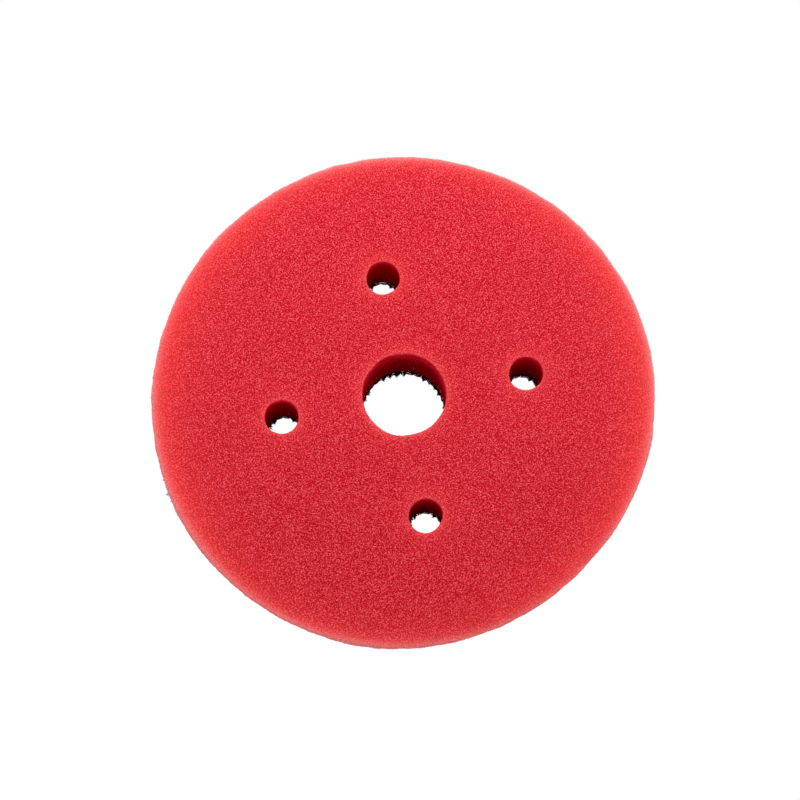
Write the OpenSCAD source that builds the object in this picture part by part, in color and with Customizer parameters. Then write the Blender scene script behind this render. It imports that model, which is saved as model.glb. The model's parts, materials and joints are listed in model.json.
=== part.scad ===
// Foam polishing pad with a hook-and-loop backing, for a dual action polisher.
// The pad lies loop side down with its working face up. Millimetres, +Z from the
// loop tips to the working face. The origin is the centre of the loop face, and
// the vent holes lie on the X and Y axes.

/* [Pad] */
// Diameter at the widest point, just below the working face
pad_d = 150; // [125:1:180]
// Diameter at the backing, where the side has tapered in
back_d = 145; // [115:1:170]
// Thickness from the loop tips to the working face
pad_h = 25; // [18:0.5:40]
// Radius of the rounded working edge
edge_r = 1.5; // [1:0.5:6]

/* [Holes] */
// Diameter of the centre hole
centre_hole_d = 25; // [12:0.5:30]
// Diameter of each vent hole
vent_d = 10; // [6:0.5:14]
// How many vent holes are spaced evenly round the centre hole
vent_count = 4; // [3:1:8]
// Diameter of the circle through the vent holes' centres
vent_circle_d = 74; // [60:1:90]

/* [Backing] */
// Height of the loop pile
pile_h = 2.5; // [1:0.1:4]
// Thickness of the knitted cloth that the loops stand on
cloth_t = 1; // [0.5:0.1:1.5]
// Thickness of the hot-melt film between the cloth and the foam
film_t = 0.5; // [0.2:0.1:1]

/* [Hidden] */
$fn = 120;
cut = 1;                                // how far a bore's tool runs past each face
cloth_z = pile_h;                       // underside of the knitted cloth
film_z = cloth_z + cloth_t;             // underside of the hot-melt film
foam_z = film_z + film_t;               // underside of the foam
back_r = back_d / 2;
edge_c = [pad_d / 2 - edge_r, pad_h - edge_r];  // centre of the rounded edge's arc
lean = edge_c - [back_r, foam_z];       // from the foot of the side to that centre
taper = atan2(lean.x, lean.y) + asin(edge_r / norm(lean));  // the side's angle off upright

// The centre hole and the ring of vent holes, cut through whatever is passed in.
module bored() {
    difference() {
        children();
        translate([0, 0, -cut]) {
            cylinder(d = centre_hole_d, h = pad_h + 2 * cut);
            for (i = [0 : vent_count - 1])
                rotate(i * 360 / vent_count)
                    translate([vent_circle_d / 2, 0, 0])
                        cylinder(d = vent_d, h = pad_h + 2 * cut);
        }
    }
}

// One flat layer of the backing, from height z upwards.
module layer(z, thickness) {
    bored()
        translate([0, 0, z])
            cylinder(r = back_r, h = thickness);
}

// Half section of the foam: flat face, rounded working edge, and a straight side
// that leaves the arc at a tangent and leans in to the backing.
module foam_section() {
    side_top = edge_c + edge_r * [cos(taper), -sin(taper)];
    polygon([[0, foam_z], [back_r, foam_z], side_top, edge_c, [edge_c.x, pad_h], [0, pad_h]]);
    translate(edge_c) circle(r = edge_r);
}

// Open-cell polyurethane foam that carries the polish and works the paint.
module foam_pad() {
    color("crimson")
        bored()
            rotate_extrude() foam_section();
}

// Hot-melt film that bonds the foam to the cloth.
module bond_film() {
    color("gainsboro") layer(film_z, film_t);
}

// Knitted ground cloth of the loop fabric.
module backing_cloth() {
    color("dimgray") layer(cloth_z, cloth_t);
}

// Loop pile that the hooks of a backing plate grip.
module loop_pile() {
    color("black") layer(0, pile_h);
}

foam_pad();
bond_film();
backing_cloth();
loop_pile();
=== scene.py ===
import json
import math

import bpy
import numpy as np
from bpy.props import FloatProperty, FloatVectorProperty, PointerProperty
from mathutils import Matrix, Vector

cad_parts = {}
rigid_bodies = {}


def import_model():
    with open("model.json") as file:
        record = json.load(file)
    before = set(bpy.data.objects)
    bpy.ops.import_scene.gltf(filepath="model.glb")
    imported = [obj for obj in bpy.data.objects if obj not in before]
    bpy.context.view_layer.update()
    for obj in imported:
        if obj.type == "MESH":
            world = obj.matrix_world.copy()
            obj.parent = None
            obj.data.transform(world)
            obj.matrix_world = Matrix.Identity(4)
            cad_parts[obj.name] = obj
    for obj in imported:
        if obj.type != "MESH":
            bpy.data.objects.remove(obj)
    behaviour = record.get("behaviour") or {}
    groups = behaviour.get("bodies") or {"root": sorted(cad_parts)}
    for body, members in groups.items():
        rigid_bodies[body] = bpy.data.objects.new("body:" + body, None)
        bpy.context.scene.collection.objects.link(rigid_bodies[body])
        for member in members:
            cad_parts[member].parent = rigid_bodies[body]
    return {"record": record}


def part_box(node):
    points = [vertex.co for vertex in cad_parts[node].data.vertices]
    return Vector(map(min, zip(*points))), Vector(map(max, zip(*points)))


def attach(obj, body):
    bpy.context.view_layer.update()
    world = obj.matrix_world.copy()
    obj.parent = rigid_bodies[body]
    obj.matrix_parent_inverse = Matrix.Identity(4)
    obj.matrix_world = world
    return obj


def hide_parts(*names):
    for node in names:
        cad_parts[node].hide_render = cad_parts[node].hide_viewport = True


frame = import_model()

bl_info = {
    "name": "Foam Polishing Pad",
    "version": (1, 0, 0),
    "blender": (4, 5, 0),
    "location": "View3D > Sidebar > Polishing Pad",
    "description": "Builds a foam polishing pad with its loop backing around the packed CAD part",
    "category": "Add Mesh",
}

MM = 0.001
UP = np.array([0, 0, 1.0])
BODY = "root"

# What the frame says about the pad.
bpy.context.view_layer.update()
MOUNTS = {mount["name"]: mount for mount in frame["record"]["mounts"]}
PAD_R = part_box("foam_pad")[1].x  # widest radius, just below the working face
BACK_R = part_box("loop_pile")[1].x  # radius of the backing
WORKING_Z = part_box("foam_pad")[1].z
FOAM_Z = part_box("foam_pad")[0].z
FILM_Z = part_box("bond_film")[0].z
CLOTH_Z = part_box("backing_cloth")[0].z
CENTRE_R = MOUNTS["centre_hole"]["dims"]["r_mm"] * MM
VENT_R = MOUNTS["vent_holes"]["dims"]["hole_r_mm"] * MM
VENT_CIRCLE_R = MOUNTS["vent_holes"]["dims"]["pcd_mm"] * MM / 2
VENT_TURNS = np.arange(MOUNTS["vent_holes"]["dims"]["count"]) * math.tau / 4
VIEW_DEGREES = -12.4  # turn of the camera about the pad
SIDE_TURN = math.radians(VIEW_DEGREES)  # which way the pad's right side lies, seen from the camera
HOLES = [(0.0, 0.0, CENTRE_R)] + [
    (VENT_CIRCLE_R * math.cos(turn), VENT_CIRCLE_R * math.sin(turn), VENT_R) for turn in VENT_TURNS
]


# ---------------------------------------------------------------- sizes and colours


def length(name, millimetres, description):
    """A length property, its default given in millimetres."""
    return FloatProperty(name=name, description=description, default=millimetres * MM, unit="LENGTH")


def angle(name, degrees, description):
    """An angle property, its default given in degrees."""
    return FloatProperty(name=name, description=description, default=math.radians(degrees), subtype="ANGLE")


def number(name, default, description):
    """A plain number property."""
    return FloatProperty(name=name, description=description, default=default)


def colour(name, default, description):
    """A colour property, in linear red, green and blue."""
    return FloatVectorProperty(name=name, description=description, default=default, subtype="COLOR")


class FoamSettings(bpy.types.PropertyGroup):
    """The foam disc's finish."""

    pitch: length("Mesh pitch", 0.65, "Spacing of the points over the foam")
    edge_radius: length("Edge radius", 0.7, "Radius of the rounded working edge")
    lip_radius: length("Lip radius", 0.4, "Radius of the soft lip round each hole")
    bore_flare: length("Bore flare", 0.1, "How much wider a hole is at the foam's foot than at the face")
    side_hollow: length("Side hollow", 0.5, "How far the cut side dips inwards half way down")
    off_centre: length("Off centre", 0.25, "How far the disc's outline is off the holes")
    oval: length("Oval", 0.42, "How far the disc is stretched along its long axis")
    lobes: length("Lobes", 0.22, "How far the outline bulges at three places round it")
    centre_shift: length("Centre shift", 0.19, "How far the centre hole and the far vent are drawn together")
    relief: length("Relief", 0.09, "Height of the cut cells standing out of the surface")
    cell: length("Cell", 0.43, "Width of one foam cell")
    rim_waviness: length("Rim waviness", 0.17, "How far the cut outline wanders")
    lip_waviness: length("Lip waviness", 0.08, "How far the holes' rims wander")
    # The pore and strut tones are the foam's cell texture, and partly painted light too: painted shade down
    # in the pores and painted highlights on the struts.
    pore: colour("Pore colour", (0.29, 0.0005, 0.003), "Colour down in the cells")
    body: colour("Foam colour", (0.588, 0.007, 0.021), "Colour between the pores and the struts")
    strut: colour("Strut colour", (0.88, 0.12, 0.15), "Colour of the cell walls that stand up")
    # Painted glow: a brighter red painted along the rim and the holes' lips, standing for light coming
    # through the foam there.
    glow: colour("Glow colour", (0.97, 0.06, 0.055), "Colour where light comes through the rim")
    # Painted sheen: a pale pink painted along the rim and faintly round the holes' lips, in place of the
    # foam's sheen at its edges.
    pale: colour("Edge colour", (0.9, 0.265, 0.265), "Colour of the loose struts along a cut edge")
    # Painted shade: the vents' walls and the centre hole's wall are painted a deeper, more saturated red
    # than the face, standing for the shade down the holes.
    vent: colour("Vent colour", (0.65, 0.001, 0.02), "Colour of the vents' walls, which light comes through")
    # Painted sheen: the lighter red of a hole's wall where it is seen along it.
    painted_wall_sheen: colour("Nap colour", (0.92, 0.005, 0.05), "Colour of a hole's wall seen along it, over the pores")
    bore: colour("Bore colour", (0.56, 0.0004, 0.010), "Colour of the punched wall of the centre hole")


class BackingSettings(bpy.types.PropertyGroup):
    """The loop fabric and the film that holds it on."""

    pitch: length("Mesh pitch", 1.3, "Spacing of the points over the cloth and film")
    hole_growth: length("Hole growth", 0.1, "How far the cloth's hole edges stand back from the punch")
    end_spacing: length("Cut end spacing", 0.36, "Distance between the cut yarn ends along an edge")
    wale: length("Wale", 2.2, "Width of one column of the knit, which bunches the cut ends")
    loop_pitch: length("Loop pitch", 1.15, "Distance between neighbouring loops")
    loop_width: length("Loop width", 1.5, "Width of one loop")
    yarn: length("Yarn", 0.24, "Thickness of the loop yarn")
    bead: length("Bead", 0.45, "Radius of a bead of glue")
    bead_pitch: length("Bead pitch", 2.4, "Distance between beads of glue round a hole")
    bead_height: length("Bead height", 9.6, "Height of the beads on a hole's wall")
    rim_shift: length("Rim shift", 1.0, "How far the backing's rim is off the foam's")
    rim_turn: angle("Rim turn", 120, "Which way the backing's rim is off the foam's")
    fray_at: angle("Fray at", 191, "Where the outer edge is frayed")
    fray_width: angle("Fray width", 19, "How much of the outer edge is frayed")
    black: colour("Yarn colour", (0.012, 0.012, 0.014), "Colour of the loops")
    # Painted glints and wear: the grey stands for filaments that catch the light, and for worn yarn.
    grey: colour("Worn yarn colour", (0.06, 0.06, 0.065), "Colour of the filaments that catch the light")
    glue: colour("Glue colour", (0.95, 0.9, 0.84), "Colour of the beads of hot-melt glue")
    film: colour("Film colour", (0.10, 0.06, 0.06), "Colour of the film, which lets the black cloth show")


class StudioSettings(bpy.types.PropertyGroup):
    """The camera, the lights and the floor."""

    azimuth: angle("Azimuth", VIEW_DEGREES, "Turn of the camera about the pad")
    elevation: angle("Elevation", 76.27, "Height of the camera above the horizon")
    roll: angle("Roll", 2.19, "Turn of the camera about its own axis")
    distance: length("Distance", 631.3, "From the camera to the middle of the working face")
    lens: number("Lens", 95.6, "Focal length in millimetres")
    aside: length("Aside", 1.26, "How far the camera stands left of the pad's middle")
    below: length("Below", 1.49, "How far the camera stands below the pad's middle")
    key: number("Key light", 2.5, "Power of the soft box overhead, in watts")
    key_far: length("Key distance", 320, "How far behind the pad the soft box hangs")
    key_height: length("Key height", 400, "Height of the soft box above the floor")
    key_size: length("Key size", 350, "Side of the soft box")
    under: number("Under lamp", 3.0, "Strength of the lamp under the floor")
    horizon: number("Horizon", 2.0, "Strength of the even light from the sides")
    zenith: number("Zenith", 0.05, "Strength of the even light from above")


SETTINGS = {"pad_foam": FoamSettings, "pad_backing": BackingSettings, "pad_studio": StudioSettings}


# ---------------------------------------------------------------- surfaces from grids of points


class Surface:
    """Points and faces gathered block by block, then made one mesh."""

    def __init__(self):
        self.points = np.zeros((0, 3))
        self.quads = []
        self.polygons = []

    def add(self, points):
        """Adds a grid of points and returns their numbers in the same grid."""
        numbers = len(self.points) + np.arange(points[..., 0].size).reshape(points.shape[:-1])
        self.points = np.concatenate([self.points, points.reshape(-1, 3)])
        return numbers

    def band(self, rings, outwards):
        """Quads between successive closed rings: points j and j + 1 of one ring join those of the next. The
        rings run anticlockwise, and outwards says whether they grow or shrink as they go."""
        here, there = rings[:-1], rings[1:]
        if not outwards:
            here, there = there, here
        corners = [here, there, np.roll(there, -1, axis=1), np.roll(here, -1, axis=1)]
        self.quads.append(np.stack(corners, axis=-1).reshape(-1, 4))

    def cells(self, numbers, keep):
        """Quads of the kept cells of a grid whose first index runs along X and second along Y."""
        corners = [numbers[:-1, :-1], numbers[1:, :-1], numbers[1:, 1:], numbers[:-1, 1:]]
        self.quads.append(np.stack(corners, axis=-1)[keep])

    def all_quads(self):
        return np.concatenate(self.quads)

    def normals(self):
        """The unit normal at each point: the sum of the area vectors of the quads round it, each of which
        is half the cross product of the quad's diagonals, made one long."""
        quads = self.all_quads()
        a, b, c, d = (self.points[quads[:, k]] for k in range(4))
        face = np.cross(c - a, d - b)
        total = np.stack(
            [
                sum(np.bincount(quads[:, k], face[:, axis], len(self.points)) for k in range(4))
                for axis in range(3)
            ],
            axis=1,
        )
        return total / np.maximum(np.linalg.norm(total, axis=1, keepdims=True), 1e-12)

    def mesh(self, name, attributes=()):
        """A smooth Blender mesh of the faces and of the points that they use, with one number at each point
        for each attribute."""
        sizes = np.array([4] * len(self.all_quads()) + [len(p) for p in self.polygons])
        corners = np.concatenate([self.all_quads().ravel(), *self.polygons])
        used, corners = np.unique(corners, return_inverse=True)
        mesh = bpy.data.meshes.new(name)
        mesh.vertices.add(len(used))
        mesh.vertices.foreach_set("co", self.points[used].astype(np.float32).ravel())
        mesh.loops.add(len(corners))
        mesh.loops.foreach_set("vertex_index", corners.astype(np.int32))
        mesh.polygons.add(len(sizes))
        mesh.polygons.foreach_set("loop_start", (np.cumsum(sizes) - sizes).astype(np.int32))
        for label, values in attributes:
            layer = mesh.attributes.new(label, "FLOAT", "POINT")
            layer.data.foreach_set("value", values[used].astype(np.float32))
        mesh.update(calc_edges=True)
        mesh.validate()
        mesh.shade_smooth()
        return mesh


def square_loop(numbers, i, j, half):
    """The point numbers round a square block of a lattice, anticlockwise from its lower left corner."""
    block = numbers[i - half : i + half + 1, j - half : j + half + 1]
    return np.concatenate([block[:-1, 0], block[-1, :-1], block[:0:-1, -1], block[0, :0:-1]])


LATTICE_R = 58 * MM  # half width of the lattice that fills the middle of a disc
LATTICE_BULGE = 0.6  # 0 leaves the lattice square and 1 makes it round
BLOCK_MARGIN = 1.5  # half width of the block of cells left out round the centre hole, in hole radii
VENT_BLOCK_MARGIN = 1.9  # the same round a vent hole


def holed_face(surface, z, pitch):
    """Points and quads of the middle of a flat disc, wound anticlockwise seen from +Z. They are a square
    lattice whose sides bulge: x = s u sqrt(1 - k v^2 / 2), and y the same with u and v exchanged. Blocks of
    its cells are left out round the five holes. Returns the rings of point numbers round the lattice and
    round each block."""
    half = round(LATTICE_R / pitch)
    u, v = np.meshgrid(*[np.linspace(-1, 1, 2 * half + 1)] * 2, indexing="ij")
    x = LATTICE_R * u * np.sqrt(1 - LATTICE_BULGE * v**2 / 2)
    y = LATTICE_R * v * np.sqrt(1 - LATTICE_BULGE * u**2 / 2)
    numbers = surface.add(np.stack([x, y, np.full_like(x, z)], axis=-1))
    keep = np.ones((2 * half, 2 * half), bool)
    blocks = []
    for hx, hy, radius in HOLES:
        margin = BLOCK_MARGIN if radius == CENTRE_R else VENT_BLOCK_MARGIN
        reach = round(radius * margin / pitch)
        i, j = (half + round(h / LATTICE_R * half) for h in (hx, hy))
        keep[i - reach : i + reach, j - reach : j + reach] = False
        blocks.append(square_loop(numbers, i, j, reach))
    surface.cells(numbers, keep)
    return square_loop(numbers, half, half, half), blocks


def loft(surface, start, centre, radii, heights, pitch, outwards, even):
    """Rings of points from a block's edge to a circle, and on along a profile of radii and heights about
    centre. The flat rings are straight blends from the block's edge to the profile's first circle. The
    points of a circle are evenly spaced, or keep the angles of the block's points."""
    edge = surface.points[start]
    if even:
        turn = -0.75 * math.pi + np.arange(len(start)) * math.tau / len(start)
    else:
        turn = np.arctan2(edge[:, 1] - centre[1], edge[:, 0] - centre[0])
    ray = np.stack([np.cos(turn), np.sin(turn)], axis=1)
    first = np.concatenate([np.array(centre) + radii[0] * ray, edge[:, 2:]], axis=1)
    gap = np.linalg.norm(first - edge, axis=1).mean()
    share = np.linspace(0, 1, max(2, round(gap / pitch)) + 1)[1:-1, None, None]
    flat = edge + (first - edge) * share
    about = np.concatenate([np.array(centre), [0.0]])
    ring = np.concatenate([ray, np.zeros((len(ray), 1))], axis=1)
    profile = about + np.array(radii)[:, None, None] * ring + np.array(heights)[:, None, None] * UP
    rings = surface.add(np.concatenate([flat, profile]))
    rings = np.concatenate([start[None], rings])
    surface.band(rings, outwards)
    return rings


def walk(low, high, pitch):
    """Evenly spaced numbers from one value to another, about a pitch apart."""
    return np.linspace(low, high, max(1, round(abs(high - low) / pitch)) + 1)


def waves(points, shortest, longest, count, seed):
    """A smooth random number at each point, with a spread of 1: the sum of many sine waves in seeded
    directions, whose lengths lie between the shortest and the longest."""
    rng = np.random.default_rng(seed)
    total = np.zeros(len(points))
    for _ in range(count):
        direction = rng.normal(size=3)
        direction /= np.linalg.norm(direction)
        span = rng.uniform(shortest, longest)
        total += np.sin(points @ direction * math.tau / span + rng.uniform(0, math.tau))
    return total * math.sqrt(2 / count)


def hole_gap(points):
    """How far each point is from the wall of its nearest hole, seen from above, less than 0 inside a
    hole."""
    gaps = [np.hypot(points[:, 0] - x, points[:, 1] - y) - radius for x, y, radius in HOLES]
    return np.min(gaps, axis=0)


def add_object(name, data):
    """Puts a mesh, a light or a camera into the scene."""
    made = bpy.data.objects.new(name, data)
    bpy.context.scene.collection.objects.link(made)
    return made


def finish_piece(name, mesh, material, slot, *stands_for):
    """Puts a mesh into the scene as a piece of the pad."""
    piece = add_object(name, mesh)
    mesh.materials.append(material)
    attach(piece, BODY)
    if stands_for:
        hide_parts(*stands_for)
    return piece


# ---------------------------------------------------------------- shader helpers


def link(out, into):
    """Links an output socket to an input socket."""
    into.id_data.links.new(out, into)


def node(tree, kind, **values):
    """A new shader node. A name that is one of its inputs sets that input, and any other sets the node
    itself."""
    made = tree.nodes.new("ShaderNode" + kind)
    for key, value in values.items():
        label = key.replace("_", " ")
        if label in made.inputs:
            made.inputs[label].default_value = value
        else:
            setattr(made, key, value)
    return made


def maths(tree, operation, a, b, clamp=False):
    """A Math node. Each of a and b is a socket or a number."""
    made = node(tree, "Math", operation=operation, use_clamp=clamp)
    for socket, value in zip(made.inputs, (a, b)):
        if isinstance(value, bpy.types.NodeSocket):
            link(value, socket)
        else:
            socket.default_value = value
    return made.outputs[0]


def ramp(tree, value, low, high, to_low=0.0, to_high=1.0):
    """A smooth step of a value from one range to another."""
    made = node(tree, "MapRange", interpolation_type="SMOOTHSTEP")
    made.inputs["From Min"].default_value = low
    made.inputs["From Max"].default_value = high
    made.inputs["To Min"].default_value = to_low
    made.inputs["To Max"].default_value = to_high
    link(value, made.inputs["Value"])
    return made.outputs["Result"]


def blend_colours(tree, share, a, b):
    """A mix of two colours, each a socket or a colour."""
    made = node(tree, "Mix", data_type="RGBA")
    link(share, made.inputs["Factor"])
    for socket, value in ((made.inputs[6], a), (made.inputs[7], b)):
        if isinstance(value, bpy.types.NodeSocket):
            link(value, socket)
        else:
            socket.default_value = (*value, 1.0)
    return made.outputs[2]


def three_tones(tree, value, low, middle, high):
    """A colour that runs from the low one at 0 through the middle one at a half to the high one at 1."""
    made = node(tree, "ValToRGB")
    stops = made.color_ramp.elements
    stops.new(0.5)
    for stop, tone in zip(stops, (low, middle, high)):
        stop.color = (*tone, 1.0)
    link(value, made.inputs[0])
    return made.outputs["Color"]


def shader_mix(tree, share, a, b):
    """A mix of two shaders, all of the first at a share of 0 and all of the second at 1."""
    made = node(tree, "MixShader")
    for socket, value in zip(made.inputs, (share, a, b)):
        link(value, socket)
    return made.outputs[0]


def group(name, inputs, outputs):
    """A new shader node group, with the sockets inside it: a vector and the named numbers with their
    defaults go in, and the named numbers come out."""
    tree = bpy.data.node_groups.new(name, "ShaderNodeTree")
    tree.interface.new_socket(name="Vector", in_out="INPUT", socket_type="NodeSocketVector")
    for label, default in inputs.items():
        socket = tree.interface.new_socket(name=label, in_out="INPUT", socket_type="NodeSocketFloat")
        socket.default_value = default
    for label in outputs:
        tree.interface.new_socket(name=label, in_out="OUTPUT", socket_type="NodeSocketFloat")
    return tree, tree.nodes.new("NodeGroupInput").outputs, tree.nodes.new("NodeGroupOutput").inputs


def use_group(tree, name, vector, **values):
    """Places a group in a material, fed with a vector and its own values."""
    made = node(tree, "Group", node_tree=bpy.data.node_groups[name])
    link(vector, made.inputs["Vector"])
    for key, value in values.items():
        made.inputs[key.replace("_", " ")].default_value = value
    return made.outputs


def feed_textures(tree, vector, size, factors):
    """Feeds a vector to textures, each at its own factor times one over the size."""
    scale = maths(tree, "DIVIDE", 1.0, size)
    for texture, factor in factors.items():
        link(vector, texture.inputs["Vector"])
        link(maths(tree, "MULTIPLY", scale, factor), texture.inputs["Scale"])


GRID_TURN = (0.6, 0.45, 0.3)
WALL_SHARE, SPECK_SHARE = 0.3, 0.7  # of the cells' walls and of the finer noise in the foam's relief


def make_cell_group():
    """Cut foam cells: the pits and walls of Voronoi cells, broken up by noise of the same size, with a slow
    drift."""
    tree, given, wanted = group("Cut cells", {"Cell": 0.8 * MM, "Drift": 0.1}, ("Strut", "Height"))
    # Turned, so that no flat face of the foam lies along the noise's own grid.
    turned = node(tree, "VectorRotate", rotation_type="EULER_XYZ", Rotation=GRID_TURN)
    link(given["Vector"], turned.inputs["Vector"])
    cells = node(tree, "TexVoronoi", feature="F1", Randomness=1.0)
    grain = node(tree, "TexNoise", Detail=0.0, Roughness=0.5)
    drift = node(tree, "TexNoise", Detail=2.0, Roughness=0.5)
    feed_textures(tree, turned.outputs[0], given["Cell"], {cells: 1.0, grain: 1.15, drift: 0.1})
    walls = ramp(tree, cells.outputs["Distance"], 0.1, 0.8)
    specks = ramp(tree, grain.outputs[0], 0.09, 0.91)
    parts = [maths(tree, "MULTIPLY", walls, WALL_SHARE), maths(tree, "MULTIPLY", specks, SPECK_SHARE)]
    height = maths(tree, "ADD", *parts)
    slow = maths(tree, "MULTIPLY", maths(tree, "SUBTRACT", drift.outputs[0], 0.5), given["Drift"])
    link(maths(tree, "ADD", height, slow, clamp=True), wanted["Strut"])
    link(height, wanted["Height"])


def make_fibre_group():
    """Twisted filaments: fine stretched noise for the strands, which the yarn uses as painted glints, and a
    slower noise for the wear.
    """
    tree, given, wanted = group("Yarn fibres", {"Strand": 0.15 * MM, "Wear": 0.5}, ("Light", "Height"))
    strands = node(tree, "TexNoise", Detail=3.0, Roughness=0.7)
    worn = node(tree, "TexNoise", Detail=2.0, Roughness=0.5)
    feed_textures(tree, given["Vector"], given["Strand"], {strands: 1.0, worn: 0.06})
    fine = ramp(tree, strands.outputs[0], 0.35, 0.75)
    slow = maths(tree, "MULTIPLY", ramp(tree, worn.outputs[0], 0.4, 0.7), given["Wear"])
    link(maths(tree, "ADD", maths(tree, "MULTIPLY", fine, 0.6), slow, clamp=True), wanted["Light"])
    link(strands.outputs[0], wanted["Height"])


def make_lint_group():
    """Sparse specks of lint: the middles of a few of the cells of a coarse Voronoi pattern."""
    tree, given, wanted = group("Lint", {"Spacing": 8 * MM, "Share": 0.05}, ("Mask",))
    cells = node(tree, "TexVoronoi", feature="F1", Randomness=1.0)
    link(given["Vector"], cells.inputs["Vector"])
    link(maths(tree, "DIVIDE", 1.0, given["Spacing"]), cells.inputs["Scale"])
    middle = ramp(tree, cells.outputs["Distance"], 0.02, 0.05, 1.0, 0.0)
    picked = node(tree, "SeparateColor")
    link(cells.outputs["Color"], picked.inputs[0])
    chosen = maths(tree, "LESS_THAN", picked.outputs[0], given["Share"])
    link(maths(tree, "MULTIPLY", middle, chosen), wanted["Mask"])


def new_material(name, **values):
    """A material whose Principled shader has these constant values. Returns it, its tree, the shader and
    the object coordinates."""
    material = bpy.data.materials.new(name)
    material.use_nodes = True
    tree = material.node_tree
    shader = tree.nodes["Principled BSDF"]
    for key, value in values.items():
        shader.inputs[key.replace("_", " ")].default_value = value
    return material, tree, shader, node(tree, "TexCoord").outputs["Object"]


def bump(tree, shader, height, distance, strength):
    """Feeds a height into the shader's normal."""
    made = node(tree, "Bump", Strength=strength, Distance=distance)
    link(height, made.inputs["Height"])
    link(made.outputs["Normal"], shader.inputs["Normal"])


SPECKLE = (0.75, 1.25)  # how dark the pores and how light the struts are in the tones of the edges and walls
YARN_SHEEN = (0.6, 0.6, 0.65, 1.0)
LINT = (0.5, 0.5, 0.5)
GLUE_DULL = 0.7  # how much darker the glue is where it is worn


def foam_material(foam):
    """Open-cell polyurethane: pale struts over deep pores, partly painted highlights and shade, with painted
    light besides: a painted glow where light comes through the rim, painted sheen along the cut edges, and
    painted shade, a deep red, down the holes."""
    material, tree, shader, place = new_material(
        "Open-cell foam",
        Specular_IOR_Level=0.05,
        Sheen_Weight=0.06,
        Sheen_Roughness=0.5,
        Sheen_Tint=(1.0, 0.15, 0.4, 1.0),
        Subsurface_Weight=0.12,
        Subsurface_Scale=1.5 * MM,
        Subsurface_Radius=(1.0, 0.1, 0.12),
    )
    cells = use_group(tree, "Cut cells", place, Cell=foam.cell, Drift=0.02)
    colour = three_tones(tree, cells["Strut"], foam.pore, foam.body, foam.strut)
    # Painted light mixed into the colour: glow and sheen along the rim and the lips, and shade down the
    # holes' walls.
    for mask, tone in (("glow", foam.glow), ("pale", foam.pale), ("bore", foam.bore), ("vent", foam.vent)):
        share = node(tree, "Attribute", attribute_name=mask).outputs["Fac"]
        low, high = (tuple(factor * channel for channel in tone) for factor in SPECKLE)
        speckled = blend_colours(tree, cells["Strut"], low, high)
        colour = blend_colours(tree, share, colour, speckled)
    # Painted sheen: seen along the wall of a hole, the wall is painted lighter, as grazing sheen and the
    # struts hiding the pores behind them make it.
    along = ramp(tree, node(tree, "LayerWeight", Blend=0.5).outputs["Facing"], 0.74, 0.91)
    wall = node(tree, "Attribute", attribute_name="bore").outputs["Fac"]
    colour = blend_colours(tree, maths(tree, "MULTIPLY", along, wall), colour, tuple(foam.painted_wall_sheen))
    link(colour, shader.inputs["Base Color"])
    link(ramp(tree, cells["Strut"], 0.0, 1.0, 0.95, 0.8), shader.inputs["Roughness"])
    bump(tree, shader, cells["Height"], 0.15 * MM, 0.5)
    return material


def yarn_material(name, backing, strand, wear):
    """Black filament yarn, with painted glints: greyer where its filaments catch the light, and where it is
    worn.
    """
    material, tree, shader, place = new_material(
        name, Specular_IOR_Level=0.35, Sheen_Weight=0.3, Sheen_Roughness=0.4, Sheen_Tint=YARN_SHEEN
    )
    fibres = use_group(tree, "Yarn fibres", place, Strand=strand, Wear=wear)
    yarn = blend_colours(tree, fibres["Light"], tuple(backing.black), tuple(backing.grey))
    lint = use_group(tree, "Lint", place, Spacing=5 * MM, Share=0.08)["Mask"]
    link(blend_colours(tree, lint, yarn, LINT), shader.inputs["Base Color"])
    link(ramp(tree, fibres["Light"], 0.0, 1.0, 0.75, 0.45), shader.inputs["Roughness"])
    bump(tree, shader, fibres["Height"], 0.1 * MM, 0.6)
    return material


def glue_material(name, tone):
    """Set hot-melt glue: waxy and a little uneven."""
    material, tree, shader, place = new_material(name, Specular_IOR_Level=0.4, Coat_Roughness=0.3)
    fibres = use_group(tree, "Yarn fibres", place, Strand=0.8 * MM, Wear=0.4)
    dull = tuple(GLUE_DULL * channel for channel in tone)
    link(blend_colours(tree, fibres["Light"], dull, tuple(tone)), shader.inputs["Base Color"])
    link(ramp(tree, fibres["Light"], 0.0, 1.0, 0.5, 0.3), shader.inputs["Roughness"])
    bump(tree, shader, fibres["Height"], 0.1 * MM, 0.3)
    return material


# ---------------------------------------------------------------- the pieces


OVAL_TURN = math.radians(46)  # direction of the disc's long axis
OFF_CENTRE_TURN = math.radians(151)  # direction in which the outline is off the holes
LOBES_TURN = math.radians(11)  # direction of the first of the three bulges
RIM_FROM = 50 * MM  # radius outside which the rim's faults set in
SHIFT_REACH = 18 * MM  # how far round a hole its shift reaches


def out_of_round(points, foam):
    """Makes the disc as untrue as a soft die-cut one is. The whole disc is stretched along one diagonal and
    drawn in by as much across it. Near the rim the radius also grows by a cosine of the angle, for being
    off centre, and by a cosine of three times the angle. The centre hole and the far vent are each drawn
    towards the other."""
    cos, sin = math.cos(2 * OVAL_TURN), math.sin(2 * OVAL_TURN)
    points[:, :2] += points[:, :2] @ (foam.oval / PAD_R * np.array([[cos, sin], [sin, -cos]]))
    turn = np.arctan2(points[:, 1], points[:, 0])
    radius = np.hypot(points[:, 0], points[:, 1])
    near = np.clip((radius - RIM_FROM) / (PAD_R - RIM_FROM), 0, 1) ** 2
    swell = foam.off_centre * np.cos(turn - OFF_CENTRE_TURN) + foam.lobes * np.cos(3 * (turn - LOBES_TURN))
    points[:, :2] *= (1 + near * swell / np.maximum(radius, MM))[:, None]
    for (x, y, _), shift in ((HOLES[0], foam.centre_shift), (HOLES[2], -foam.centre_shift)):
        away = np.hypot(points[:, 0] - x, points[:, 1] - y)
        points[:, 1] += shift * np.exp(-((away / SHIFT_REACH) ** 4))


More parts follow.
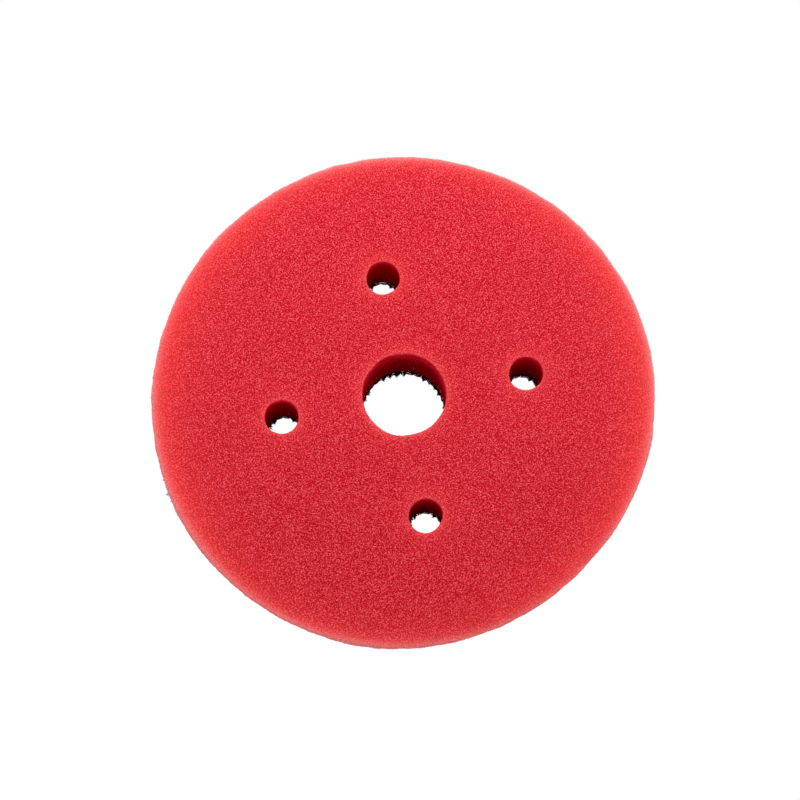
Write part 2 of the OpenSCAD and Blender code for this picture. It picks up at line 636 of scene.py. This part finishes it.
def foam_floor(surface, rim, holes):
    """Closes the foam's flat underside with four polygons, one between each pair of neighbouring vent
    holes, cut along the lines through the centre hole and the vents."""

    def arc(ring, about, start, end, anticlockwise):
        """The point numbers of a ring from one angle round to another."""
        at = surface.points[ring]
        turn = np.arctan2(at[:, 1] - about[1], at[:, 0] - about[0])
        gaps = [np.abs((turn - wanted + math.pi) % math.tau - math.pi) for wanted in (start, end)]
        first, last = (int(np.argmin(gap)) for gap in gaps)
        step = 1 if anticlockwise else -1
        count = (last - first) * step % len(ring)
        return ring[(first + step * np.arange(count + 1)) % len(ring)]

    centre, vents = holes[0], holes[1:]
    quarter = math.tau / len(vents)
    for k, turn in enumerate(VENT_TURNS):
        other = turn + quarter
        here, there = HOLES[1 + k], HOLES[1 + (k + 1) % len(vents)]
        corners = [
            arc(rim, (0, 0), turn, other, True),
            arc(vents[(k + 1) % len(vents)], there, other, other + math.pi, False),
            arc(centre, (0, 0), other, turn, False),
            arc(vents[k], here, turn + math.pi, turn, False),
        ]
        surface.polygons.append(np.concatenate(corners)[::-1])


# How deep into the foam the painted glow and the painted sheen reach from an edge, and how strong they are
# there.
GLOW_REACH, SIDE_GLOW_REACH, LIP_GLOW_REACH = 4.8 * MM, 2.4 * MM, 3 * MM
GLOW, SIDE_GLOW, LIP_GLOW = 0.58, 0.27, 0.3
PALE_REACH, LIP_PALE_REACH, LIP_PALE = MM, 0.8 * MM, 0.17
FADE_DOWN = 3 * MM  # how far down the side the glow reaches
LIP_WIDTH = 1.5 * MM  # how far outside a hole's wall still counts as in the hole
RIM_CLEAR = PAD_R - 10 * MM  # radius inside which the holes lie, and outside which the rim does
WALL_SETS_IN = 0.3 * MM  # depth at which a hole's wall has its full colour
# Relief of the foam's skin.
RIM_RELIEF_REACH = 2 * MM  # how far from the rim its extra relief reaches
LIP_RELIEF_REACH = 6 * MM  # how far down a hole its unevenness reaches
SLOW_RELIEF = 0.1 * MM  # height of the slow unevenness of the whole face
RIM_SETBACK = 0.05 * MM  # how far the rim is drawn in, to keep the outline's mean
FOOT_CALM = 1.5 * MM  # height above the backing below which the relief dies away


def edge_masks(points, edge_z):
    """The share of each painted tone of the foam at each point: the painted glow and painted sheen die away
    by a power of e with the distance from the rim, from the lips of the holes and down the side, and the
    painted shade fills the holes' walls. Also returns each point's distance from the rim, whether it is in a
    hole, and its depth below the working face."""
    radius = np.hypot(points[:, 0], points[:, 1])
    gap = hole_gap(points)
    rim_gap = np.maximum(PAD_R - radius, 0)
    lip_gap = np.maximum(gap, 0)
    in_hole = (gap < LIP_WIDTH) & (radius < RIM_CLEAR)
    depth = WORKING_Z - points[:, 2]
    below = np.exp(-np.maximum(edge_z - points[:, 2], 0) / FADE_DOWN)
    # Painted glow: the rim is painted brighter at the pad's two sides, seen from the camera, than at its
    # near and far ends, standing for more light coming through the rim there.
    aside = (1 + np.cos(2 * (np.arctan2(points[:, 1], points[:, 0]) - SIDE_TURN))) / 2
    glow = (GLOW + SIDE_GLOW * aside) * np.exp(-rim_gap / (GLOW_REACH + SIDE_GLOW_REACH * aside))
    glow += LIP_GLOW * np.exp(-lip_gap / LIP_GLOW_REACH)
    # Painted sheen: paler along the rim and faintly round the lips; down the side it fades fast, where the
    # side is in shade.
    pale = np.exp(-rim_gap / PALE_REACH) + LIP_PALE * np.exp(-lip_gap / LIP_PALE_REACH)
    # Painted shade: the holes' walls take their deeper red from just below the lip.
    wall = in_hole * np.clip(depth / WALL_SETS_IN, 0, 1)
    masks = {
        "glow": np.clip(glow * below, 0, 1),
        "pale": np.clip(pale * below**4, 0, 1),
        "bore": wall * (radius < VENT_CIRCLE_R / 2),
        "vent": wall * (radius > VENT_CIRCLE_R / 2),
    }
    return masks, rim_gap, in_hole, depth


class PAD_OT_foam(bpy.types.Operator):
    """Build the foam disc"""

    bl_idname = "polishing_pad.foam"
    bl_label = "Foam disc"

    def execute(self, context):
        foam = context.scene.pad_foam
        pitch = foam.pitch
        surface = Surface()
        lattice, blocks = holed_face(surface, WORKING_Z, pitch)
        # The rounded edge, then the side, which dips inwards as a die leaves it.
        centre_r, centre_z = PAD_R - foam.edge_radius, WORKING_Z - foam.edge_radius
        lean = math.atan2(centre_r - BACK_R, centre_z - FOAM_Z)
        lean += math.asin(foam.edge_radius / math.hypot(centre_r - BACK_R, centre_z - FOAM_Z))
        turn = walk(0, math.pi / 2 + lean, 0.4)
        share = walk(0, 1, pitch / (centre_z - FOAM_Z))[1:]
        foot = np.array([BACK_R, FOAM_Z])
        top = np.array([centre_r, centre_z]) + foam.edge_radius * np.array([math.cos(lean), -math.sin(lean)])
        side = top + (foot - top) * share[:, None]
        side[:, 0] -= foam.side_hollow * np.sin(math.pi * share)
        radii = np.concatenate([centre_r + foam.edge_radius * np.sin(turn), side[:, 0]])
        heights = np.concatenate([centre_z + foam.edge_radius * np.cos(turn), side[:, 1]])
        rim = loft(surface, lattice, (0.0, 0.0), radii, heights, pitch, True, True)[-1]
        # Each hole: a soft lip, then a wall that flares towards the backing.
        feet = []
        lip = foam.lip_radius
        turn = walk(0, math.pi / 2, 0.5)
        share = walk(0, 1, pitch / (WORKING_Z - FOAM_Z))[1:]
        for (x, y, radius), block in zip(HOLES, blocks):
            flare = foam.bore_flare * (1.0 if radius == CENTRE_R else 0.5)
            radii = np.concatenate([radius + lip * (1 - np.sin(turn)), radius + flare * share**1.3])
            heights = np.concatenate(
                [WORKING_Z - lip * (1 - np.cos(turn)), WORKING_Z - lip - (WORKING_Z - lip - FOAM_Z) * share]
            )
            feet.append(loft(surface, block, (x, y), radii, heights, pitch, False, False)[-1])
        foam_floor(surface, rim, feet)

        points = surface.points
        masks, rim_gap, in_hole, depth = edge_masks(points, centre_z)
        # Relief: cut cells at the scale of the mesh, a wandering rim and a slow unevenness of the face.
        out_of_round(points, foam)
        fine = np.random.default_rng(5).normal(size=len(points))
        slow = waves(points, 25 * MM, 60 * MM, 12, seed=3)
        wander = 1.3 * waves(points, 50 * MM, 120 * MM, 12, seed=8)
        wander += 0.5 * waves(points, 5 * MM, 16 * MM, 40, seed=9)
        at_rim = np.exp(-rim_gap / RIM_RELIEF_REACH)
        height = foam.relief * 0.35 * fine * (1 + 0.8 * at_rim) + SLOW_RELIEF * slow
        height += foam.rim_waviness * wander * at_rim - RIM_SETBACK * at_rim
        unevenness = waves(points, 4 * MM, 12 * MM, 40, seed=15)
        height += foam.lip_waviness * unevenness * in_hole * np.exp(-depth / LIP_RELIEF_REACH)
        height *= np.clip((points[:, 2] - FOAM_Z) / FOOT_CALM, 0, 1)
        surface.points = points + surface.normals() * height[:, None]
        mesh = surface.mesh("foam_pad_look", masks.items())
        mesh.set_sharp_from_angle(angle=math.radians(70))
        piece = finish_piece("foam_disc", mesh, foam_material(foam), "foam", "foam_pad")
        return {"FINISHED"}


def plate(low, high, radius, hole_growth, pitch, ragged, seed):
    """A flat disc with the five holes, closed all round: the same face above and below, joined by straight
    walls. Its cut edges wander by a seeded smooth noise."""
    surface = Surface()
    rings = {}
    for z in (high, low):
        lattice, blocks = holed_face(surface, z, pitch)
        rim = loft(surface, lattice, (0.0, 0.0), [radius], [z], pitch, True, True)[-1]
        feet = [
            loft(surface, block, (x, y), [r + hole_growth], [z], pitch, False, False)[-1]
            for (x, y, r), block in zip(HOLES, blocks)
        ]
        rings[z] = [rim, *feet]
        if z == high:
            upper = len(surface.quads)
    surface.quads[upper:] = [quads[:, ::-1] for quads in surface.quads[upper:]]
    for k, (above, below) in enumerate(zip(rings[high], rings[low])):
        surface.band(np.stack([above, below]), k == 0)
    points = surface.points
    rim_gap = np.abs(np.hypot(points[:, 0], points[:, 1]) - radius)
    edge = np.minimum(rim_gap, np.abs(hole_gap(points) - hole_growth))
    wander = waves(points, 2 * MM, 7 * MM, 30, seed) * ragged * (edge < 0.1 * MM)
    normals = surface.normals() * [1, 1, 0]
    normals /= np.maximum(np.linalg.norm(normals, axis=1, keepdims=True), 1e-9)
    surface.points = points + normals * wander[:, None]
    return surface


def tubes(lines, across, radius, sides=3):
    """Closed tubes along many lines at once: lines is an array of lines by stations by 3, across is a unit
    vector square to each line's plane, and radius is one number for each station, or for each station of
    each line. Each station gets a ring of points in the plane square to the line, and each end is
    closed."""
    along = np.gradient(lines, axis=1)
    along /= np.linalg.norm(along, axis=2, keepdims=True)
    across = np.broadcast_to(across[:, None], lines.shape)
    up = np.cross(along, across)
    turn = np.arange(sides) * math.tau / sides
    ring = np.cos(turn)[:, None] * up[:, :, None] + np.sin(turn)[:, None] * across[:, :, None]
    width = np.broadcast_to(radius, lines.shape[:2])
    points = lines[:, :, None] + ring * width[:, :, None, None]
    count, stations = lines.shape[:2]
    numbers = np.arange(count * stations * sides).reshape(count, stations, sides)
    here, there = numbers[:, :-1], numbers[:, 1:]
    quads = np.stack([here, np.roll(here, -1, 2), np.roll(there, -1, 2), there], axis=-1).reshape(-1, 4)
    caps = [*numbers[:, 0, ::-1], *numbers[:, -1]]
    surface = Surface()
    surface.add(points)
    surface.quads.append(quads)
    surface.polygons = caps
    return surface


def round_edges(inset, spacing, rng):
    """Places along the five hole edges and the outer edge of the backing: for each, its point seen from
    above, the unit direction out of the material, and how far along its edge it lies. Inset is how far the
    places lie inside the material."""
    spots, outs, lengths = [], [], []
    edges = [(x, y, radius + inset, -1) for x, y, radius in HOLES] + [(0.0, 0.0, BACK_R - inset, 1)]
    for x, y, radius, side in edges:
        count = round(math.tau * radius / spacing)
        turn = (np.arange(count) + rng.uniform(-0.3, 0.3, count)) * math.tau / count
        ray = np.stack([np.cos(turn), np.sin(turn)], axis=1)
        spots.append(np.array([x, y]) + radius * ray)
        outs.append(side * ray)
        lengths.append(turn * radius)
    return np.concatenate(spots), np.concatenate(outs), np.concatenate(lengths)


def beads(spots, heights, radius, rings=4, sides=6):
    """Closed beads of glue round points: each is a ball whose rings of points run from its lower pole to
    its upper."""
    rise = np.linspace(-math.pi / 2, math.pi / 2, rings + 2)
    centres = np.concatenate([spots, heights[:, None]], axis=1)
    lines = centres[:, None] + np.sin(rise)[:, None] * radius[:, None, None] * UP
    width = np.maximum(np.cos(rise), 0.05) * radius[:, None]
    across = np.tile([1.0, 0, 0], (len(spots), 1))
    return tubes(lines, across, width, sides)


def shift_rim(points, backing):
    """Moves the rim of the backing sideways, and leaves its holes where they are."""
    near = np.clip((np.hypot(points[..., 0], points[..., 1]) - RIM_FROM) / (BACK_R - RIM_FROM), 0, 1)
    way = np.array([math.cos(backing.rim_turn), math.sin(backing.rim_turn)])
    points[..., :2] += backing.rim_shift * near[..., None] * way


FILM_INSET = 0.4 * MM  # how far the film's cut edges stand back from the cloth's
BEAD_OUT = 0.15 * MM  # how far the middle of a bead stands inside the hole's wall
BEAD_SIDES = 0.4  # beads lie where the wall's own direction has more than this share along X


class PAD_OT_film(bpy.types.Operator):
    """Build the hot-melt film and the beads of glue that the hot punch draws up two sides of each hole"""

    bl_idname = "polishing_pad.film"
    bl_label = "Hot-melt film"

    def execute(self, context):
        backing = context.scene.pad_backing
        film = plate(FILM_Z, FOAM_Z, BACK_R - FILM_INSET, FILM_INSET, backing.pitch, 0.1 * MM, seed=21)
        shift_rim(film.points, backing)
        mesh = film.mesh("bond_film_look")
        mesh.set_sharp_from_angle(angle=math.radians(40))
        finish_piece("glue_film", mesh, glue_material("Hot-melt film", backing.film), "film", "bond_film")
        rng = np.random.default_rng(23)
        spots, outs, _ = round_edges(-BEAD_OUT, backing.bead_pitch, rng)
        in_hole = np.hypot(*spots.T) < RIM_CLEAR
        at_side = np.abs(outs[:, 0]) > BEAD_SIDES
        spots = spots[in_hole & at_side]
        radius = backing.bead * rng.uniform(0.65, 1.05, len(spots))
        height = backing.bead_height + rng.normal(size=len(spots)) * 0.5 * MM
        glue = beads(spots, height, radius)
        out_of_round(glue.points, context.scene.pad_foam)
        mesh = glue.mesh("glue_beads")
        finish_piece("glue_beads", mesh, glue_material("Hot-melt glue", backing.glue), "film")
        return {"FINISHED"}


class PAD_OT_cloth(bpy.types.Operator):
    """Build the knitted ground cloth of the loop fabric"""

    bl_idname = "polishing_pad.cloth"
    bl_label = "Backing cloth"

    def execute(self, context):
        backing = context.scene.pad_backing
        cloth = plate(CLOTH_Z, FILM_Z, BACK_R, backing.hole_growth, backing.pitch, 0.06 * MM, seed=31)
        shift_rim(cloth.points, backing)
        mesh = cloth.mesh("backing_cloth_look")
        mesh.set_sharp_from_angle(angle=math.radians(40))
        material = yarn_material("Knitted ground", backing, 0.3 * MM, 0.5)
        piece = finish_piece("ground_cloth", mesh, material, "cloth", "backing_cloth")
        return {"FINISHED"}


LOOP_RIM, LOOP_HOLE = 0.6 * MM, 0.8 * MM  # how far the loops' feet stand back from the rim and the holes
LOOP_ROOT = 0.15 * MM  # how deep a loop is rooted in the cloth
LOOP_SCATTER, LOOP_TWIST, LOOP_LEAN = 0.18, 0.7, 0.35  # spreads, in pitches, in radians and in millimetres


class PAD_OT_loops(bpy.types.Operator):
    """Build the pile of loops that hangs from the cloth"""

    bl_idname = "polishing_pad.loops"
    bl_label = "Loop pile"

    def execute(self, context):
        backing = context.scene.pad_backing
        rng = np.random.default_rng(41)
        # Loops stand in rows of the knit, every other row shifted by half a loop.
        step = backing.loop_pitch
        count = int(BACK_R / step) + 1
        i, j = np.meshgrid(np.arange(-count, count + 1), np.arange(-count, count + 1), indexing="ij")
        foot = np.stack([(i + 0.5 * (j % 2)) * step, j * step], axis=-1).reshape(-1, 2)
        foot += rng.normal(size=foot.shape) * LOOP_SCATTER * step
        inside = (np.hypot(*foot.T) < BACK_R - LOOP_RIM) & (hole_gap(foot) > LOOP_HOLE)
        foot = foot[inside]
        total = len(foot)
        shift_rim(foot, backing)
        # Each loop is an arch of the yarn, hung upside down: out along its width, down and back up.
        turn = rng.normal(size=total) * LOOP_TWIST
        width = backing.loop_width * rng.uniform(0.75, 1.15, total)
        height = CLOTH_Z * rng.uniform(0.78, 1.0, total)
        share = np.linspace(0, 1, 8)
        reach = -0.5 * np.cos(math.pi * share)
        drop = np.sin(math.pi * share) ** 0.7
        along = np.stack([np.cos(turn), np.sin(turn), np.zeros(total)], axis=1)
        lean = np.concatenate([rng.normal(size=(total, 2)) * LOOP_LEAN * MM, np.zeros((total, 1))], axis=1)
        start = np.concatenate([foot, np.full((total, 1), CLOTH_Z + LOOP_ROOT)], axis=1)
        lines = (
            start[:, None]
            + along[:, None] * (reach * width[:, None])[..., None]
            - UP * (drop * (height[:, None] + LOOP_ROOT - 0.5 * backing.yarn))[..., None]
            + lean[:, None] * drop[:, None]
        )
        across = np.cross(along, -UP)
        material = yarn_material("Loop yarn", backing, 0.12 * MM, 0.6)
        quarter = np.floor((np.arctan2(foot[:, 1], foot[:, 0]) + math.pi) / (math.tau / 4)).astype(int) % 4
        for k in range(4):
            mine = quarter == k
            loops = tubes(lines[mine], across[mine], np.full(len(share), backing.yarn / 2))
            mesh = loops.mesh(f"loops_{k}")
            stands_for = ["loop_pile"] if k == 0 else []
            finish_piece(f"loops_quarter_{k + 1}", mesh, material, "pile", *stands_for)
        return {"FINISHED"}


ROW_INSETS = (0.05, 0.35, 0.7)  # of the rows of cut ends behind the edge, in millimetres
OUTER_SETBACK = 0.4 * MM  # how much further back the ends of the outer edge stop
LOOSE_SHARE = 0.5  # of the ends that are loose in the middle of the frayed stretch
LOOSE_REACH, LOOSE_SLOPE = 3.7, 1.3  # a loose end's reach there and its fall along the stretch, in mm


class PAD_OT_cut_ends(bpy.types.Operator):
    """Build the fringe of cut yarn ends along the edges of the backing"""

    bl_idname = "polishing_pad.cut_ends"
    bl_label = "Cut yarn ends"

    def execute(self, context):
        backing = context.scene.pad_backing
        rng = np.random.default_rng(47)
        insets = backing.hole_growth + np.array(ROW_INSETS) * MM
        rows = [round_edges(inset, backing.end_spacing, rng) for inset in insets]
        spots, outs, lengths = (np.concatenate(parts) for parts in zip(*rows))
        total = len(spots)
        # The columns of the knit bunch the ends into tufts that reach out of the edge by different amounts.
        column = np.round(lengths / backing.wale)
        within = lengths / backing.wale - column
        tuft = waves(np.stack([column, outs[:, 0], outs[:, 1]], axis=1), 2.1, 3.7, 20, seed=43)
        reach = rng.uniform(-0.15, -0.05, total) * MM
        reach += np.clip(0.5 + 0.4 * tuft, 0.1, 1.1) * MM * (1 - 2 * np.abs(within)) ** 1.5
        # Along one stretch of the outer edge some ends have come loose, and stand well out.
        turn = np.arctan2(spots[:, 1], spots[:, 0]) % math.tau
        outer = np.hypot(*spots.T) > VENT_CIRCLE_R + 2 * VENT_R
        reach[outer] -= OUTER_SETBACK
        off = np.clip((turn - backing.fray_at) / backing.fray_width, -0.5, 0.5)
        loose = np.random.default_rng(53).uniform(size=total) < LOOSE_SHARE * np.cos(math.pi * off)
        frayed = outer & loose & (np.abs(off) < 0.5)
        reach[frayed] += (LOOSE_REACH - LOOSE_SLOPE * off[frayed]) * MM
        side = rng.normal(size=total) * 0.05 * MM - 0.4 * backing.wale * within
        low = rng.uniform(0.0, 0.2, total) * MM
        low[frayed] = rng.uniform(0.3, 1.6, frayed.sum()) * MM
        share = np.linspace(0, 1, 5)
        along = np.where(outer, 1, -1)[:, None] * np.stack([-outs[:, 1], outs[:, 0]], axis=1)
        shift = outs * reach[:, None] + along * side[:, None]
        flat = spots[:, None] + shift[:, None] * (share**2)[:, None]
        top = CLOTH_Z + 0.1 * MM
        shift_rim(flat, backing)
        drop = top + (low[:, None] + 0.15 * MM - top) * share
        lines = np.concatenate([flat, drop[..., None]], axis=-1)
        across = np.concatenate([along, np.zeros((total, 1))], axis=1)
        ends = tubes(lines, across, backing.yarn * np.array([0.8, 0.85, 0.85, 0.75, 0.5]))
        material = bpy.data.materials["Loop yarn"]
        finish_piece("cut_yarn_ends", ends.mesh("cut_yarn_ends"), material, "pile")
        return {"FINISHED"}


# ---------------------------------------------------------------- studio


WHITE = (1.0, 1.0, 1.0, 1.0)
PAPER = (0.35, 0.35, 0.35, 1.0)


def floor_material():
    """Plain pale paper. The camera sees it evenly white from above and not at all from below, it gives
    other surfaces a softer light, and the lamp under it shines through."""
    material = bpy.data.materials.new("Pale paper")
    material.use_nodes = True
    tree = material.node_tree
    tree.nodes.remove(tree.nodes["Principled BSDF"])
    paper = node(tree, "BsdfDiffuse", Color=PAPER)
    white = node(tree, "Emission", Color=WHITE, Strength=1.0)
    ray = node(tree, "LightPath").outputs
    seen = shader_mix(tree, ray["Is Camera Ray"], paper.outputs[0], white.outputs[0])
    open_way = maths(tree, "MAXIMUM", node(tree, "NewGeometry").outputs["Backfacing"], ray["Is Shadow Ray"])
    clear = node(tree, "BsdfTransparent").outputs[0]
    link(shader_mix(tree, open_way, seen, clear), tree.nodes["Material Output"].inputs["Surface"])
    return material


def make_sky(studio):
    """Soft light, stronger from the sides than from above and none from below, which the camera sees as
    plain white."""
    world = bpy.data.worlds.new("Studio")
    bpy.context.scene.world = world
    world.use_nodes = True
    tree = world.node_tree
    light = tree.nodes["Background"]
    light.inputs["Color"].default_value = WHITE
    split = node(tree, "SeparateXYZ")
    link(node(tree, "TexCoord").outputs["Generated"], split.inputs[0])
    height = split.outputs["Z"]
    strength = ramp(tree, height, 0.2, 0.65, studio.horizon, studio.zenith)
    above = maths(tree, "GREATER_THAN", height, 0.0)
    link(maths(tree, "MULTIPLY", strength, above), light.inputs["Strength"])
    white = node(tree, "Background", Color=WHITE, Strength=1.0)
    seen = node(tree, "LightPath").outputs["Is Camera Ray"]
    mixed = shader_mix(tree, seen, light.outputs[0], white.outputs[0])
    link(mixed, tree.nodes["World Output"].inputs["Surface"])


def soft_box(name, place, aim, size, power):
    """Adds a square area light that faces a point."""
    lamp = bpy.data.lights.new(name, "AREA")
    lamp.size = size
    lamp.energy = power
    light = add_object(name, lamp)
    light.location = place
    light.rotation_euler = (Vector(aim) - Vector(place)).to_track_quat("-Z", "Y").to_euler()


UNDER_SPREAD = math.radians(15)  # apparent width of the lamp under the floor


def under_lamp(energy, pieces):
    """Adds a lamp that shines straight up through the floor and lights only these pieces."""
    lamp = bpy.data.lights.new("under_lamp", "SUN")
    lamp.energy = energy
    lamp.angle = UNDER_SPREAD
    light = add_object("under_lamp", lamp)
    light.rotation_euler = (math.pi, 0, 0)
    lit = bpy.data.collections.new("lit_from_below")
    for piece in pieces:
        lit.objects.link(piece)
    light.light_linking.receiver_collection = lit


class PAD_OT_stage(bpy.types.Operator):
    """Set up the floor, the light and the camera"""

    bl_idname = "polishing_pad.stage"
    bl_label = "Studio"

    def execute(self, context):
        studio = context.scene.pad_studio
        scene = context.scene
        surface = Surface()
        steps = np.linspace(-2.0, 2.0, 9)
        x, y = np.meshgrid(steps, steps, indexing="ij")
        numbers = surface.add(np.stack([x, y, np.zeros_like(x)], axis=-1))
        surface.cells(numbers, np.ones((8, 8), bool))
        floor = add_object("floor", surface.mesh("floor"))
        floor.data.materials.append(floor_material())

        make_sky(studio)
        middle = Vector((0, 0, WORKING_Z))
        far = Vector((-math.sin(studio.azimuth), math.cos(studio.azimuth), 0))
        above = far * studio.key_far + Vector((0, 0, studio.key_height))
        soft_box("key_box", above, middle, studio.key_size, studio.key)

        # The backing lies on the floor, so it needs a light of its own to be seen from below.
        backing = ("ground_cloth", "loops_quarter")
        under_lamp(studio.under, [piece for piece in scene.objects if piece.name.startswith(backing)])

        camera = bpy.data.cameras.new("camera")
        camera.lens = studio.lens
        camera.clip_start = 0.01
        viewer = add_object("camera", camera)
        level = math.cos(studio.elevation)
        back = Vector(
            (math.sin(studio.azimuth) * level, -math.cos(studio.azimuth) * level, math.sin(studio.elevation))
        )
        flat = Vector((math.cos(studio.azimuth), math.sin(studio.azimuth), 0))
        upright = back.cross(flat)
        right = flat * math.cos(studio.roll) + upright * math.sin(studio.roll)
        up = back.cross(right)
        place = middle + back * studio.distance - right * studio.aside - up * studio.below
        viewer.matrix_world = Matrix.Translation(place) @ Matrix((right, up, back)).transposed().to_4x4()
        scene.camera = viewer
        scene.view_settings.view_transform = "Standard"
        return {"FINISHED"}


class PAD_PT_panel(bpy.types.Panel):
    """The pad's settings and the buttons that build it"""

    bl_idname = "PAD_PT_panel"
    bl_label = "Polishing Pad"
    bl_space_type = "VIEW_3D"
    bl_region_type = "UI"
    bl_category = "Polishing Pad"

    def draw(self, context):
        for label, settings in SETTINGS.items():
            box = self.layout.box()
            box.label(text=settings.__doc__)
            for name in settings.__annotations__:
                box.prop(getattr(context.scene, label), name)
        for operator in OPERATORS:
            self.layout.operator(operator.bl_idname)


OPERATORS = (PAD_OT_foam, PAD_OT_film, PAD_OT_cloth, PAD_OT_loops, PAD_OT_cut_ends, PAD_OT_stage)
CLASSES = (*SETTINGS.values(), *OPERATORS, PAD_PT_panel)


def register():
    for cls in CLASSES:
        bpy.utils.register_class(cls)
    for label, settings in SETTINGS.items():
        setattr(bpy.types.Scene, label, PointerProperty(type=settings))


def unregister():
    for label in SETTINGS:
        delattr(bpy.types.Scene, label)
    for cls in reversed(CLASSES):
        bpy.utils.unregister_class(cls)


def main():
    register()
    make_cell_group()
    make_fibre_group()
    make_lint_group()
    bpy.ops.polishing_pad.foam()
    bpy.ops.polishing_pad.film()
    bpy.ops.polishing_pad.cloth()
    bpy.ops.polishing_pad.loops()
    bpy.ops.polishing_pad.cut_ends()
    bpy.ops.polishing_pad.stage()


if __name__ == "__main__":
    main()
